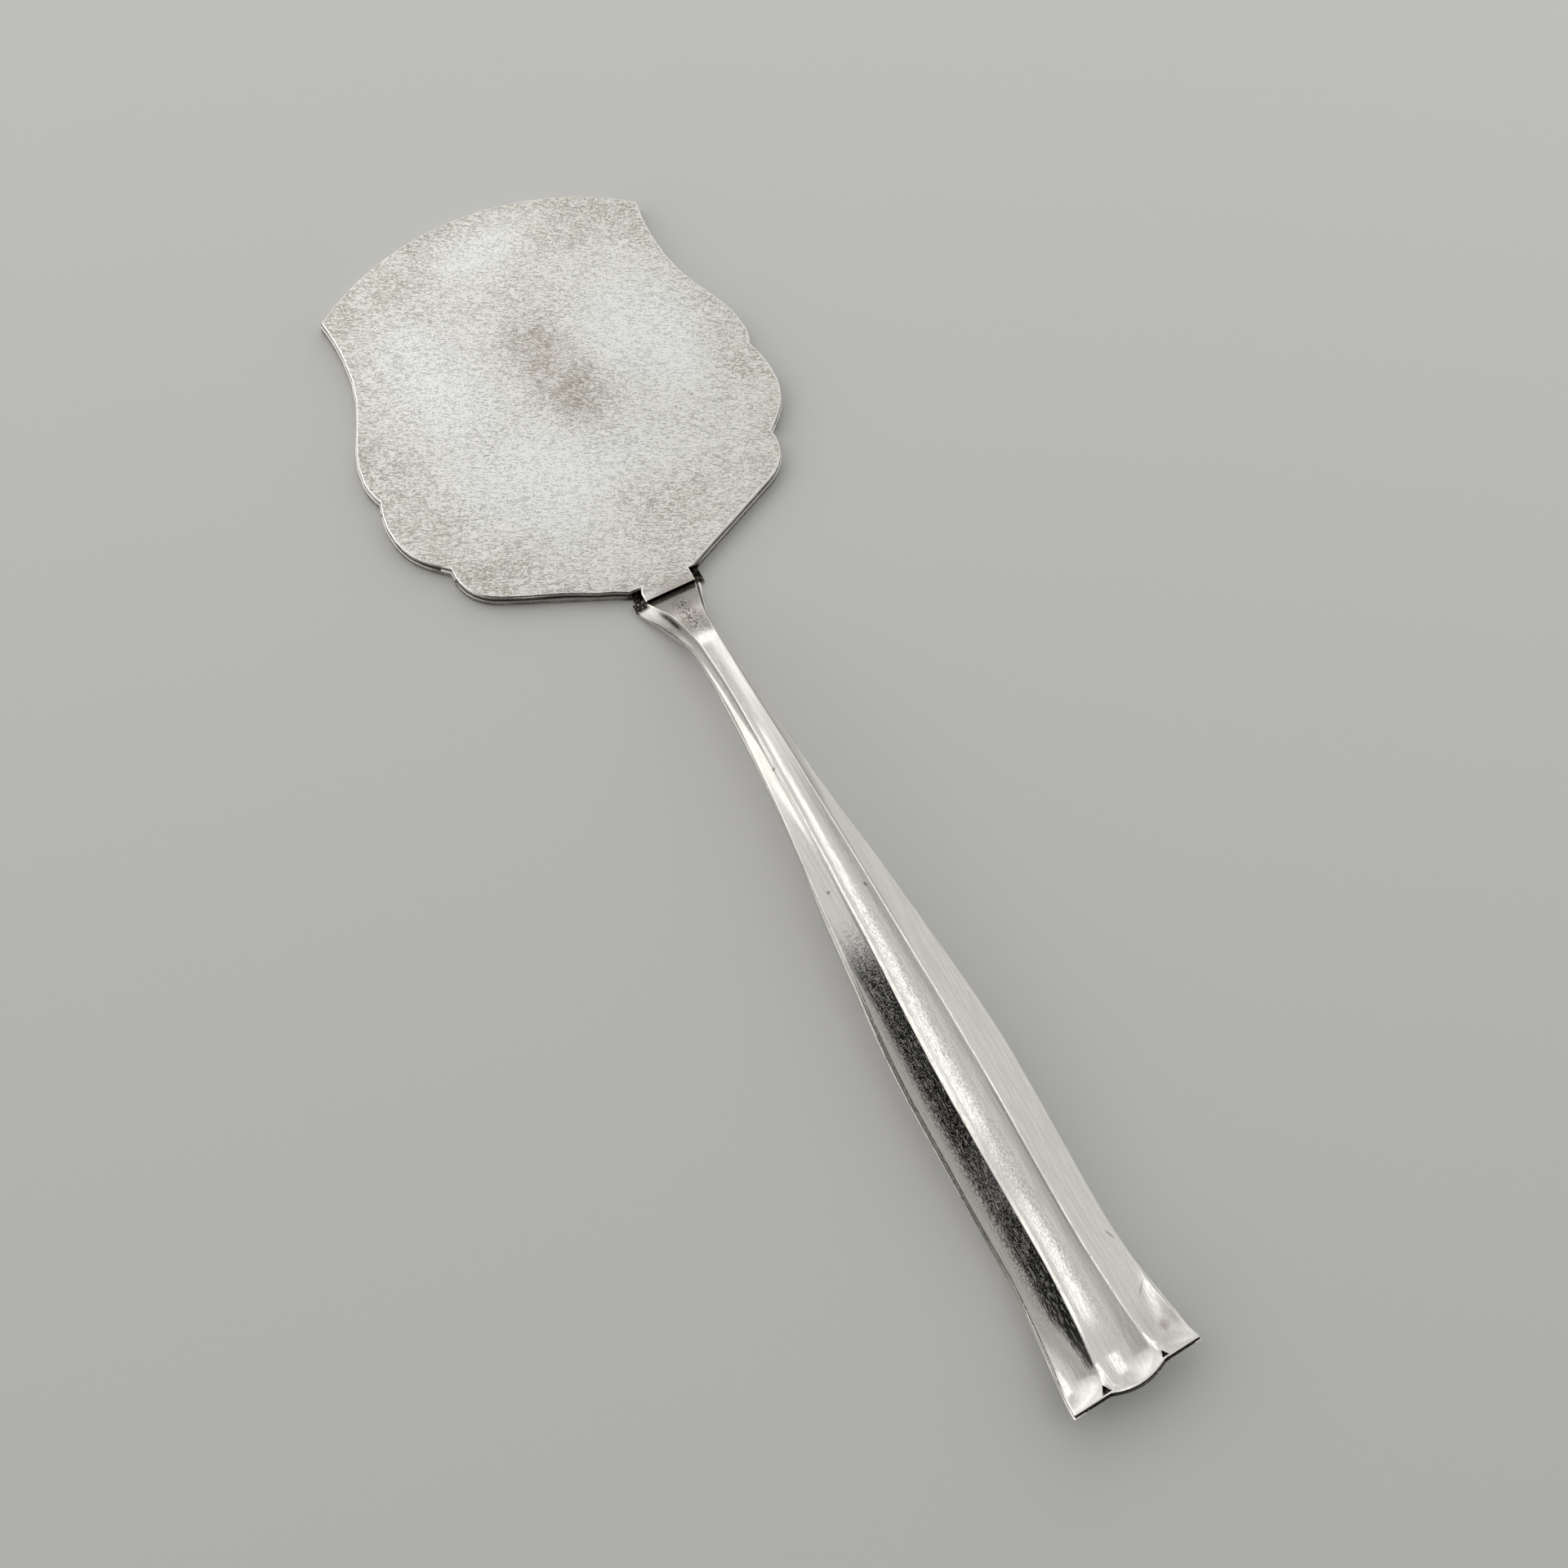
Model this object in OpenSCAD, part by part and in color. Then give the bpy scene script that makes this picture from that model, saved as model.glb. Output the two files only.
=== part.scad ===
// Serving spatula, lying on its decorated front with its plain back up.
// Two thin sheets make the blade and two hollow shells make the arched handle.
// All sizes are in millimetres. +Z is up, the blade points to +Y and the handle to -Y.
// The origin is on the table, under the middle of the bounding box.

/* [Blade outline] */
// Length of the blade from its heel to the top of the front curve
blade_l = 71.9; // [55:0.1:95]
// Height of the front curve above the line between the front corners
front_rise = 9.1; // [4:0.1:14]
// Width of the blade at the front corners
front_w = 55; // [40:0.1:75]
// Width of the blade at its waist
waist_w = 53.8; // [38:0.1:72]
// Distance from the heel to the waist
waist_at = 55.5; // [46:0.1:60]
// Width across the shoulders
shoulder_w = 65.2; // [50:0.1:85]
// Distance from the heel to the shoulders
shoulder_at = 34; // [32.5:0.1:40]
// Width between the two front notches
notch_w = 63.5; // [48:0.1:83]
// Distance from the heel to the front notches
notch_at = 30.4; // [28:0.1:31.5]
// Width across the large lobes
lobe_w = 65.4; // [50:0.1:85]
// Distance from the heel to the widest place of the large lobes
lobe_at = 25.2; // [22:0.1:27]
// Width between the two rear notches
rear_notch_w = 54.3; // [40:0.1:60]
// Distance from the heel to the rear notches
rear_notch_at = 15.3; // [13:0.1:18]
// Width across the place where the small lobes turn into the heel
turn_w = 45; // [35:0.1:49]
// Distance from the heel to that place
turn_at = 7.7; // [5:0.1:10]
// Width between the two heel corners
heel_w = 15; // [12:0.1:20]
// Distance from the heel to the heel corners
heel_corner_at = 1.1; // [0.5:0.1:2]
// How much further forward the right front notch is than the left one
notch_skew = 0.8; // [0:0.1:1.5]
// How far the front of the blade leans to the right
front_lean = 0.6; // [0:0.1:2]

/* [Blade sheets] */
// Thickness of the plain upper plate
plate_t = 0.75; // [0.4:0.05:1.5]
// Width of the plate's heel tab
tab_w = 8; // [5:0.1:10]
// Length of the plate's heel tab
tab_l = 2.4; // [1.5:0.1:4]
// Thickness of the lower sheet's floor
floor_t = 0.6; // [0.3:0.05:1.2]
// Height of the lower sheet's turned-up rim, from the table
rim_h = 1.45; // [1:0.05:3]
// Thickness of the turned-up rim
rim_t = 0.8; // [0.4:0.05:1.5]
// How far the lower sheet stands out past the plate
sheet_margin = 0.2; // [0:0.05:0.4]
// Height of the open seam in the lobes and along the heel
blade_gap = 0.45; // [0.1:0.05:0.8]
// Radius of the solder pads at the notches
pad_r = 1.6; // [1:0.1:3]

/* [Handle plan] */
// Length of the handle from the lip of the tab to the end corners
handle_l = 125.7; // [112:0.1:160]
// How far the middle petal bulges past the end corners
end_bulge = 1; // [0:0.1:2]
// How far the handle's axis lies right of the blade's middle
axis_x = 0.35; // [0:0.05:1]
// Width of the flare where it meets the blade
flare_w = 11.2; // [9.5:0.1:14]
// How much further the flare stands out to the left than to the right
flare_lean = 0.7; // [0:0.1:1.2]
// Length of the steep ramp behind the lip
ramp_l = 5; // [3:0.1:8]
// Width at the foot of the ramp
ramp_w = 7.1; // [6:0.1:9]
// Distance from the lip to the neck
neck_at = 12; // [9:0.1:16]
// Width of the neck
neck_w = 4.9; // [4:0.1:6.5]
// Distance from the lip to the shank
shank_at = 41.6; // [30:0.1:50]
// Width of the shank
shank_w = 8; // [6:0.1:10]
// Distance from the lip to the swell
swell_at = 58; // [52:0.1:70]
// Width of the swell
swell_w = 12.1; // [10.5:0.1:14]
// Distance from the lip to the widest place of the body
body_at = 84; // [74:0.1:95]
// Width of the body
body_w = 15.8; // [14.5:0.1:20]
// Distance from the lip to the place where the handle rests on the table
rest_at = 106; // [98:0.1:110]
// Width of the handle there
rest_w = 15.4; // [12:0.1:19]
// Width of the end
end_w = 19.6; // [16:0.1:26]

/* [Handle ridges and flutes] */
// Distance between the two ridges at the foot of the ramp
ramp_ridges = 4.6; // [3:0.1:5]
// Distance between the two ridges at the neck
neck_ridges = 2.9; // [2:0.1:3.6]
// Distance between the two ridges at the shank
shank_ridges = 3.6; // [2.6:0.1:5]
// Distance between the two ridges on the body
body_ridges = 5.8; // [5:0.1:8]
// Distance between the two ridges at the end
end_ridges = 8.4; // [7:0.1:11]
// Height of the ridges above the seam at the foot of the ramp
ramp_ridge_h = 2; // [1.4:0.1:2.6]
// Height of the ridges above the seam at the neck
neck_ridge_h = 2.1; // [1.4:0.1:2.6]
// Height of the ridges above the seam on the body
body_ridge_h = 1.5; // [1.1:0.05:2]
// Depth of the side flutes at the foot of the ramp
ramp_flute_d = 0.45; // [0.2:0.05:0.7]
// Depth of all three flutes at the neck
neck_flute_d = 0.15; // [0.1:0.05:0.5]
// Depth of the middle flute on the body
flute_d = 0.2; // [0.1:0.05:0.9]
// Depth of the side flutes on the body
side_flute_d = 0.15; // [0.1:0.05:0.8]
// Length over which the flutes curve up to the end
bowl_l = 3.4; // [2:0.1:6]
// Length of the triangular hole at the end of each ridge
hole_l = 1.2; // [0.6:0.1:2]
// Width of the triangular hole
hole_w = 1.3; // [0.6:0.1:2]
// Width of metal left between the hole and the end
hole_rim = 0.35; // [0.2:0.05:0.8]

/* [Handle arch and depth] */
// Height of the seam above the table at the foot of the ramp
ramp_z = 2; // [1.5:0.1:3]
// Height of the seam at the neck
neck_z = 4.7; // [3.5:0.1:5.5]
// Distance from the lip to the top of the arch
arch_at = 33; // [26:0.1:40]
// Height of the seam at the top of the arch
arch_z = 6.3; // [5.6:0.1:9]
// Height of the seam at the body
body_z = 4.9; // [4.2:0.1:5.5]
// Height of the seam where the handle rests on the table
rest_z = 3.75; // [3:0.05:4.1]
// Height of the seam at the end, below the turned-up lip
end_z = 5.1; // [4.5:0.1:9]
// How much further the lip of the end turns up over the bowls
end_lift = 1; // [0:0.1:2]
// Depth of the lower shell below the seam at the neck
neck_d = 2.5; // [1.6:0.1:3.2]
// Depth of the lower shell at the top of the arch
arch_d = 3; // [2:0.1:3.6]
// Depth of the lower shell at the end
end_d = 0.9; // [0.85:0.05:2]

/* [Handle sheets] */
// Thickness of the sheet that both shells are pressed from
shell_t = 0.6; // [0.35:0.05:0.8]
// Height of the upper shell's edge above the seam
edge_h = 0.4; // [0.25:0.05:0.6]
// Height of the lower shell's edge below the seam
lower_edge_h = 0.8; // [0.6:0.05:1.2]
// How far the lower shell sits to the left of the upper one
lower_shift = 0.15; // [0:0.05:0.3]
// Height of the open seam along the left side
seam_gap = 0.4; // [0:0.05:0.5]
// Distance from the lip to where the open seam starts
gap_from = 66; // [40:0.5:85]
// Distance from the lip to where the open seam ends
gap_to = 115; // [100:0.5:118]
// How far the upper shell reaches under the tab
tuck_l = 0.9; // [0.4:0.1:1.4]

/* [Hidden] */

silver = [0.83, 0.82, 0.79];
steps = 7;                         // steps in each curve of the blade's outline
front_steps = 12;                  // steps in half of the front curve
side_n = 6;                        // steps across a side flute
mid_n = 8;                         // steps across the middle flute
stations = 56;                     // stations along the handle

// The whole part is centred on its length.
front_v = blade_l + sheet_margin;
end_v = -(tab_l + handle_l + end_bulge);
mid_v = (front_v + end_v) / 2;

plate_z = rim_h;                   // underside of the plate, on the rim
seam0_z = floor_t;                 // the seam starts on the lower sheet's tongue
front_at = blade_l - front_rise;   // distance from the heel to the front corners
far = blade_l + handle_l;          // a length that clears the part

// Blade: the plain plate and the tray-like front sheet.
// Points of a cubic curve, without its first one.
function curve(a, b, c, d) = [for (i = [1:steps]) let (t = i / steps)
    pow(1-t, 3)*a + 3*pow(1-t, 2)*t*b + 3*(1-t)*t*t*c + t*t*t*d];

// Right half of the outline from the middle of the front to the heel, grown by m.
function half_outline(m, skew) = let (
    c = [front_w/2 + m, front_at],
    rise = front_rise + m,
    r = (c[0]*c[0] + rise*rise) / (2*rise),
    w = [waist_w/2 + m, waist_at],
    s = [shoulder_w/2 + m, shoulder_at],
    n = [notch_w/2 + m, notch_at + skew],
    l = [lobe_w/2 + m, lobe_at],
    k = [rear_notch_w/2 + m, rear_notch_at - m],
    t = [turn_w/2 + m*0.4, turn_at - m*0.9],
    h = [heel_w/2 + m*0.4, heel_corner_at - m*0.9],
    waist_run = waist_at - shoulder_at)
    concat(
        [for (i = [0:front_steps]) let (x = c[0]*i/front_steps) [x, front_at + rise - r + sqrt(r*r - x*x)]],
        curve(c, c + [-0.5, -2.5], w + [0, 3], w),
        curve(w, w - [0, waist_run*0.51], s + [0, waist_run*0.35], s),
        curve(s, s - [0, 1.4], n + [0.55, 1.2], n),
        curve(n, n + [0.55, -1.5], l + [0, 1.8], l),
        curve(l, l - [0, (lobe_at - rear_notch_at)*0.56], k + [2.8, 2.5], k),
        curve(k, k + [0.45, -3.3], t + [3.5, 1.5], t),
        [h, [tab_w/2 + 1.5, 0.05 - m]]);

// The front leans to the right, more and more towards the front corners.
function lean(p) = [p[0] + front_lean * max(0, (p[1] - shoulder_at) / (front_at - shoulder_at)), p[1]];

// Whole outline, with what stands out between the heel corners as given.
function outline(m, heel) = let (
    right = half_outline(m, notch_skew/2),
    left = half_outline(m, -notch_skew/2),
    n = len(left))
    [for (p = concat(right, heel, [for (i = [n-1:-1:1]) [-left[i][0], left[i][1]]])) lean(p)];

module blade_2d(m) polygon(outline(m, [[tab_w/2, -m], [-tab_w/2, -m]]));
module plate_2d() polygon(outline(0, [
    [axis_x + tab_w/2, 0], [axis_x + tab_w/2, -tab_l], [axis_x - tab_w/2, -tab_l], [axis_x - tab_w/2, 0]]));

// Solder pads at the four notches, where rim and plate stay in touch.
module pads_2d() {
    for (s = [-1, 1]) {
        translate([s*notch_w/2, notch_at + s*notch_skew/2]) circle(r = pad_r, $fn = 24);
        translate([s*rear_notch_w/2, rear_notch_at]) circle(r = pad_r, $fn = 24);
    }
}

module back_plate() color(silver) translate([0, -mid_v, plate_z])
    linear_extrude(plate_t) plate_2d();

module front_sheet() color(silver * 0.92) translate([0, -mid_v, 0]) {
    difference() {
        linear_extrude(rim_h) blade_2d(sheet_margin);
        translate([0, 0, floor_t]) linear_extrude(rim_h) blade_2d(sheet_margin - rim_t);
        // open seam along the lobes and the heel
        translate([0, 0, rim_h - blade_gap]) linear_extrude(rim_h) difference() {
            translate([-far/2, -far/2]) square([far, far/2 + notch_at]);
            pads_2d();
        }
        // mouth in the heel's rim, from the hollow blade to the hollow handle
        translate([axis_x - flare_w/2 + 0.1, -rim_t, floor_t])
            cube([flare_w - 0.2, 3*rim_t, rim_h]);
    }
    // tongue under the tab, which the lower shell butts against
    translate([axis_x - flare_w/2 + 0.1, -tab_l, 0])
        cube([flare_w - 0.2, tab_l, floor_t]);
}

// Handle: two pressed shells, lofted through rings along one line.
// A smooth line through the sizes y at the places x, which never overshoots them.
function secant(x, y, i) = (y[i+1] - y[i]) / (x[i+1] - x[i]);
function slope(x, y, i) = i == 0 ? secant(x, y, 0) : i == len(x) - 1 ? secant(x, y, i-1) :
    let (a = secant(x, y, i-1), b = secant(x, y, i), p = x[i] - x[i-1], q = x[i+1] - x[i])
    a*b <= 0 ? 0 : 3*(p + q) / ((2*q + p)/a + (q + 2*p)/b);
function cell(x, v, i = 0) = i >= len(x) - 2 || v <= x[i+1] ? i : cell(x, v, i + 1);
function along(x, y, v) = let (i = cell(x, v), h = x[i+1] - x[i], t = min(1, max(0, (v - x[i])/h)))
    y[i]*(1 + 2*t)*pow(1-t, 2) + slope(x, y, i)*h*t*pow(1-t, 2)
    + y[i+1]*t*t*(3 - 2*t) + slope(x, y, i+1)*h*t*t*(t - 1);

function half_w(d) = along([0, ramp_l, neck_at, shank_at, swell_at, body_at, rest_at, handle_l],
    [flare_w, ramp_w, neck_w, shank_w, swell_w, body_w, rest_w, end_w], d) / 2;
function ridge_x(d) = along([0, ramp_l, neck_at, shank_at, body_at, rest_at, handle_l],
    [tab_w - 0.2, ramp_ridges, neck_ridges, shank_ridges, body_ridges, body_ridges, end_ridges], d) / 2;
function seam_z(d) = along([0, ramp_l, neck_at, arch_at, body_at, rest_at, handle_l],
    [seam0_z, ramp_z, neck_z, arch_z, body_z, rest_z, end_z], d)
    + end_lift * pow(min(1, max(0, (d - handle_l + bowl_l)/bowl_l)), 2);
function ridge_h(d) = along([0, ramp_l, neck_at, body_at, rest_at, handle_l],
    [plate_z - seam0_z, ramp_ridge_h, neck_ridge_h, body_ridge_h, body_ridge_h, edge_h], d);
function depth(d) = along([0, neck_at, arch_at, rest_at, handle_l],
    [seam0_z, neck_d, arch_d, rest_z, end_d], d);

// Bowl factor: 1 along the handle, down to 0 where the flutes curve up to the end.
function bowl(d) = let (q = min(1, max(0, (d - handle_l + bowl_l)/bowl_l))) sqrt(max(0, 1 - q*q));
// Hollow factor: 0 at both closed ends, 1 between them.
function hollow(d) = min(1, max(0, d/2 + 0.2), max(0, (handle_l - d - shell_t)/1.6));
function side_lean(d) = flare_lean * max(0, 1 - max(0, d)/neck_at);
function open_seam(d) = seam_gap * min(1, max(0, (d - gap_from)/8), max(0, (gap_to - d)/4));

// Places across the handle: [x, ridge share, sag of the side flute, sag of the middle flute]
function across(d, shift) = let (w = half_w(d), r = ridge_x(d), c = -side_lean(d)) concat(
    [for (i = [0:side_n-1]) let (t = i/side_n) [-(w - c)*(1-t) - r*t - shift, t, 4*t*(1-t), 0]],
    [for (i = [0:mid_n]) let (t = i/mid_n) [-r + 2*r*t - shift, 1, 0, 4*t*(1-t)]],
    [for (i = [1:side_n]) let (t = i/side_n) [r*(1-t) + (w + c)*t - shift, 1-t, 4*t*(1-t), 0]]);

// Plan: the middle petal bulges, and the bulge fades out over the bowl.
function plan_y(x, d) = let (r = ridge_x(d), q = max(0, (d - handle_l + 2*bowl_l)/(2*bowl_l)))
    -tab_l - d - end_bulge * pow(min(1, q), 2) * max(0, 1 - x*x/(r*r));

function side_flute(d) = along([0, ramp_l, neck_at, body_at, handle_l],
    [(plate_z - seam0_z - edge_h)/2, ramp_flute_d, neck_flute_d, side_flute_d, side_flute_d], d);
function middle_flute(d) = along([0, ramp_l, neck_at, body_at, handle_l],
    [0, neck_flute_d/4, neck_flute_d, flute_d, flute_d], d);
function top_z(p, d) =
    edge_h + (ridge_h(d) - edge_h)*p[1] - p[2] * side_flute(d) * bowl(d) - p[3] * middle_flute(d) * bowl(d);
function belly_z(p, d) = let (
    q = min(1, abs(p[0] + lower_shift)/half_w(d)), e = min(lower_edge_h, depth(d)))
    -(e + (depth(d) - e) * pow(max(0, 1 - pow(q, 2.4)), 0.6));

// One ring: the outer line from left to right, then the inner line at the same places.
function upper_ring(d) = let (a = across(d, 0), z = seam_z(d), g = hollow(d)) concat(
    [for (p = a) [p[0] + axis_x, plan_y(p[0], d), z + top_z(p, d)]],
    [for (p = a) [p[0] + axis_x, plan_y(p[0], d), z + g*max(0, top_z(p, d) - shell_t)]]);
function lower_ring(d) = let (a = across(d, lower_shift), z = seam_z(d), g = hollow(d), n = len(a)) concat(
    [for (j = [0:n-1]) let (p = a[j]) [p[0] + axis_x, plan_y(p[0], d),
        z + (j < 2 ? -open_seam(d) : j > n-3 ? 0 : g*min(0, belly_z(p, d) + shell_t))]],
    [for (p = a) [p[0] + axis_x, plan_y(p[0], d), z + belly_z(p, d)]]);

// A closed shell through rings whose upper and lower lines have n points each.
module loft(rings, n) {
    m = len(rings);
    function at(i, j) = i*2*n + j;
    polyhedron(
        points = [for (ring = rings) each ring],
        faces = concat(
            [for (i = [0:m-2], j = [0:n-2]) each [
                [at(i,j), at(i+1,j), at(i+1,j+1)], [at(i,j), at(i+1,j+1), at(i,j+1)],
                [at(i,n+j), at(i+1,n+j+1), at(i+1,n+j)], [at(i,n+j), at(i,n+j+1), at(i+1,n+j+1)]]],
            [for (i = [0:m-2]) each [
                [at(i,0), at(i,n), at(i+1,n)], [at(i,0), at(i+1,n), at(i+1,0)],
                [at(i,n-1), at(i+1,2*n-1), at(i,2*n-1)], [at(i,n-1), at(i+1,n-1), at(i+1,2*n-1)]]],
            [for (j = [0:n-2]) each [
                [at(0,j), at(0,j+1), at(0,n+j+1)], [at(0,j), at(0,n+j+1), at(0,n+j)],
                [at(m-1,j), at(m-1,n+j+1), at(m-1,j+1)], [at(m-1,j), at(m-1,n+j), at(m-1,n+j+1)]]]));
}

across_n = 2*side_n + mid_n + 1;
// Stations lie closer together in the ramp and in the bowl.
function station(i) = let (t = i/stations) handle_l * (t - 0.09*sin(360*t));

// Triangular hole at the end of a ridge, with its tip towards the blade.
module end_hole(side) {
    y = -tab_l - handle_l + hole_rim;
    translate([axis_x + side*end_ridges/2, y, end_z - end_d]) linear_extrude(far) polygon([
        [-hole_w/2, 0], [hole_w/2, 0], [-side*hole_w*0.15, hole_l]]);
}

module upper_shell() color(silver) translate([0, -mid_v, 0]) difference() {
    loft(concat([upper_ring(-tuck_l)], [for (i = [0:stations]) upper_ring(station(i))]), across_n);
    end_hole(-1);
    end_hole(1);
}

module lower_shell() color(silver * 0.92) translate([0, -mid_v, 0])
    loft([for (i = [0:stations]) lower_ring(station(i))], across_n);

back_plate();
front_sheet();
upper_shell();
lower_shell();
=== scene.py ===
import math
import bmesh
import bpy
from mathutils import Matrix, Vector


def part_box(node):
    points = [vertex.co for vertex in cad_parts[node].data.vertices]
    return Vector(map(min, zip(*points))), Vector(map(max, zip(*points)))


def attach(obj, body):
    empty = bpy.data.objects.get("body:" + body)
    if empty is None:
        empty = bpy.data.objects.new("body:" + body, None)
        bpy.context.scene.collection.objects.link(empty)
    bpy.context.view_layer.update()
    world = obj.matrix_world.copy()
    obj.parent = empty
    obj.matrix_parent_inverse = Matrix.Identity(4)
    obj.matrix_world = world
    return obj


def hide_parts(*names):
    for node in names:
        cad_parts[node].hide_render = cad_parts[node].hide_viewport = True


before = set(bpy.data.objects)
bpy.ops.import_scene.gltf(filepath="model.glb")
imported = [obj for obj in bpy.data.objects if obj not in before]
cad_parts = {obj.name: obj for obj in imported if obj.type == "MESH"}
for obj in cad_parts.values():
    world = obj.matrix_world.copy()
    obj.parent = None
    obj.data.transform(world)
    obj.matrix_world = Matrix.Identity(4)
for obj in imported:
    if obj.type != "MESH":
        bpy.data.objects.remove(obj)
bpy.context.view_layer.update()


# Back plate
# A flat sheet of silver sawn to the lobed outline, with a tab at its heel that laps over the
# handle's root. It is soldered onto the front sheet's rim, and its edges are worn round.

MM = 0.001


def worked_copy(node, name, flat=0.5):
    """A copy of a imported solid, with triangles that are flat within some degrees made one face."""
    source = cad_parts[node]
    piece = source.copy()
    piece.data = source.data.copy()
    piece.name = piece.data.name = name
    piece.parent = None
    bpy.context.collection.objects.link(piece)
    bpy.ops.object.select_all(action="DESELECT")
    piece.select_set(True)
    bpy.context.view_layer.objects.active = piece
    bpy.ops.object.mode_set(mode="EDIT")
    bpy.ops.mesh.select_all(action="SELECT")
    bpy.ops.mesh.remove_doubles(threshold=0.002 * MM)
    bpy.ops.mesh.dissolve_limited(angle_limit=math.radians(flat))
    bpy.ops.object.mode_set(mode="OBJECT")
    return piece


def round_edges(piece, *passes):
    """Bevels edges in passes, each a width in mm and a test that weighs an edge by its faces."""
    for width, chosen in passes:
        shape = bmesh.new()
        shape.from_mesh(piece.data)
        layers = shape.edges.layers.float
        weights = layers.get("bevel_weight_edge") or layers.new("bevel_weight_edge")
        for edge in shape.edges:
            a, b = (face.normal for face in edge.link_faces)
            edge[weights] = chosen(a, b, (edge.verts[0].co + edge.verts[1].co) / 2)
        shape.to_mesh(piece.data)
        shape.free()
        bevel = piece.modifiers.new("worn edge", "BEVEL")
        bevel.limit_method = "WEIGHT"
        bevel.width = width * MM
        bevel.segments = 4
        bevel.use_clamp_overlap = False
        bpy.ops.object.modifier_apply(modifier=bevel.name)
    bpy.ops.object.shade_smooth()
    normals = piece.modifiers.new("flat faces", "WEIGHTED_NORMAL")
    normals.keep_sharp = True
    bpy.ops.object.modifier_apply(modifier=normals.name)


def is_rim(a, b, up=1):
    """Whether an edge lies between a flat face, looking up or down, and a wall."""
    return max(up * a.z, up * b.z) > 0.7 and min(up * a.z, up * b.z) < 0.5


def paint_shade(piece, shaded):
    """Marks the faces that are painted black as painted shade, where they lie in hollows and gaps."""
    dirt_and_shade = piece.data.attributes.new("dirt_and_shade", "FLOAT", "FACE")
    for face in piece.data.polygons:
        dirt_and_shade.data[face.index].value = 1.0 if shaded(face) else 0.0


plate_low, plate_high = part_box("back_plate")
plate = worked_copy("back_plate", "plate")
tab_l = 2.4                            # how far the tab laps over the handle, in mm as all sizes
tab_cuts = (0.3, 0.8, 1.3, 1.7, 2.05)  # where it is bent
tab_drop = 0.05                        # how much lower its lip lies
tab_skew = 0.4                         # how far its left side is hammered out
skew_l = 0.6                           # reached at this distance from the heel
heel_y = plate_low[1] + tab_l * MM
heel_depth = 8                         # the heel's edges lie within this of the tab
heel_waves = {-19.5: -0.06, -17: 0.05, -14.5: 0.16, -12: 0.08, -9.8: -0.12}   # place: shift
on_line = 0.01                         # how near a point is to a cut that it lies on

# The heel's left edge is a little wavy, and the tab is hammered down to a rounded lip.
bpy.ops.object.mode_set(mode="EDIT")
for x in heel_waves:
    bpy.ops.mesh.select_all(action="SELECT")
    bpy.ops.mesh.bisect(plane_co=(x * MM, 0, 0), plane_no=(1, 0, 0))
for back in tab_cuts:
    bpy.ops.mesh.select_all(action="SELECT")
    bpy.ops.mesh.bisect(plane_co=(0, heel_y - back * MM, 0), plane_no=(0, 1, 0))
bpy.ops.object.mode_set(mode="OBJECT")
for v in plate.data.vertices:
    x, back = v.co.x / MM, (heel_y - v.co.y) / MM
    if back > on_line:
        if v.co.z > (plate_low[2] + plate_high[2]) / 2:
            v.co.z -= tab_drop * MM * (back / tab_l) ** 2
        if x < 0:
            v.co.x -= tab_skew * MM * min(1, back / skew_l)
    elif back > -heel_depth:
        for wave_x, rise in heel_waves.items():
            if abs(x - wave_x) < on_line:
                v.co.y += rise * MM


def lip_corner(a, b, middle):
    """Picks the upright edges at the two corners of the tab's lip."""
    upright = abs(a.z) < 0.2 and abs(b.z) < 0.2
    return 1.0 if upright and a.dot(b) < 0.5 and middle.y < heel_y - 1.5 * MM else 0.0


def plate_rim(a, b, middle):
    """Picks the plate's upper edges, which are less worn at the tab's lip."""
    if is_rim(a, b):
        return 0.3 if middle.y < heel_y - 2.2 * MM else 0.9
    return 0.0


round_edges(plate, (0.3, lip_corner), (0.4, plate_rim))
# The plate's underside, seen through the open seam, is painted black as painted shade.
paint_shade(plate, lambda face: face.normal.z < -0.9)
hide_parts("back_plate")
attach(plate, "root")


def put(socket, value):
    """Sets a socket to a number or colour, or links another node's output to it."""
    if isinstance(value, bpy.types.NodeSocket):
        socket.node.id_data.links.new(value, socket)
    else:
        socket.default_value = value


def maths(tree, operation, a, b=0.0):
    """One sum on two values."""
    node = tree.nodes.new("ShaderNodeMath")
    node.operation = operation
    put(node.inputs[0], a)
    put(node.inputs[1], b)
    return node.outputs[0]


def times(tree, a, b):
    """Two values multiplied, as for a mark that shows only where another does."""
    return maths(tree, "MULTIPLY", a, b)


def fade(tree, value, low, high):
    """Goes softly from 0 to 1 while the value goes from low to high."""
    node = tree.nodes.new("ShaderNodeMapRange")
    node.interpolation_type = "SMOOTHSTEP"
    put(node.inputs["Value"], value)
    node.inputs["From Min"].default_value = low
    node.inputs["From Max"].default_value = high
    return node.outputs["Result"]


def placed(tree, x, y, long, wide, turn, high):
    """Object coordinates centred at a place and turned, with the given sizes in mm as units."""
    node = tree.nodes.new("ShaderNodeMapping")
    node.vector_type = "TEXTURE"
    node.inputs["Location"].default_value = (x * MM, y * MM, 0)
    node.inputs["Rotation"].default_value = (0, 0, math.radians(turn))
    node.inputs["Scale"].default_value = (long * MM, wide * MM, high * MM)
    put(node.inputs["Vector"], tree.nodes.new("ShaderNodeTexCoord").outputs["Object"])
    return node.outputs["Vector"]


def attribute_value(tree, name):
    """The value that a piece carries at each point under this name."""
    node = tree.nodes.new("ShaderNodeAttribute")
    node.attribute_name = name
    return node.outputs["Fac"]


def height_above(tree):
    """Height above the table in mm."""
    node = tree.nodes.new("ShaderNodeSeparateXYZ")
    put(node.inputs[0], tree.nodes.new("ShaderNodeTexCoord").outputs["Object"])
    return maths(tree, "DIVIDE", node.outputs["Z"], MM)


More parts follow.
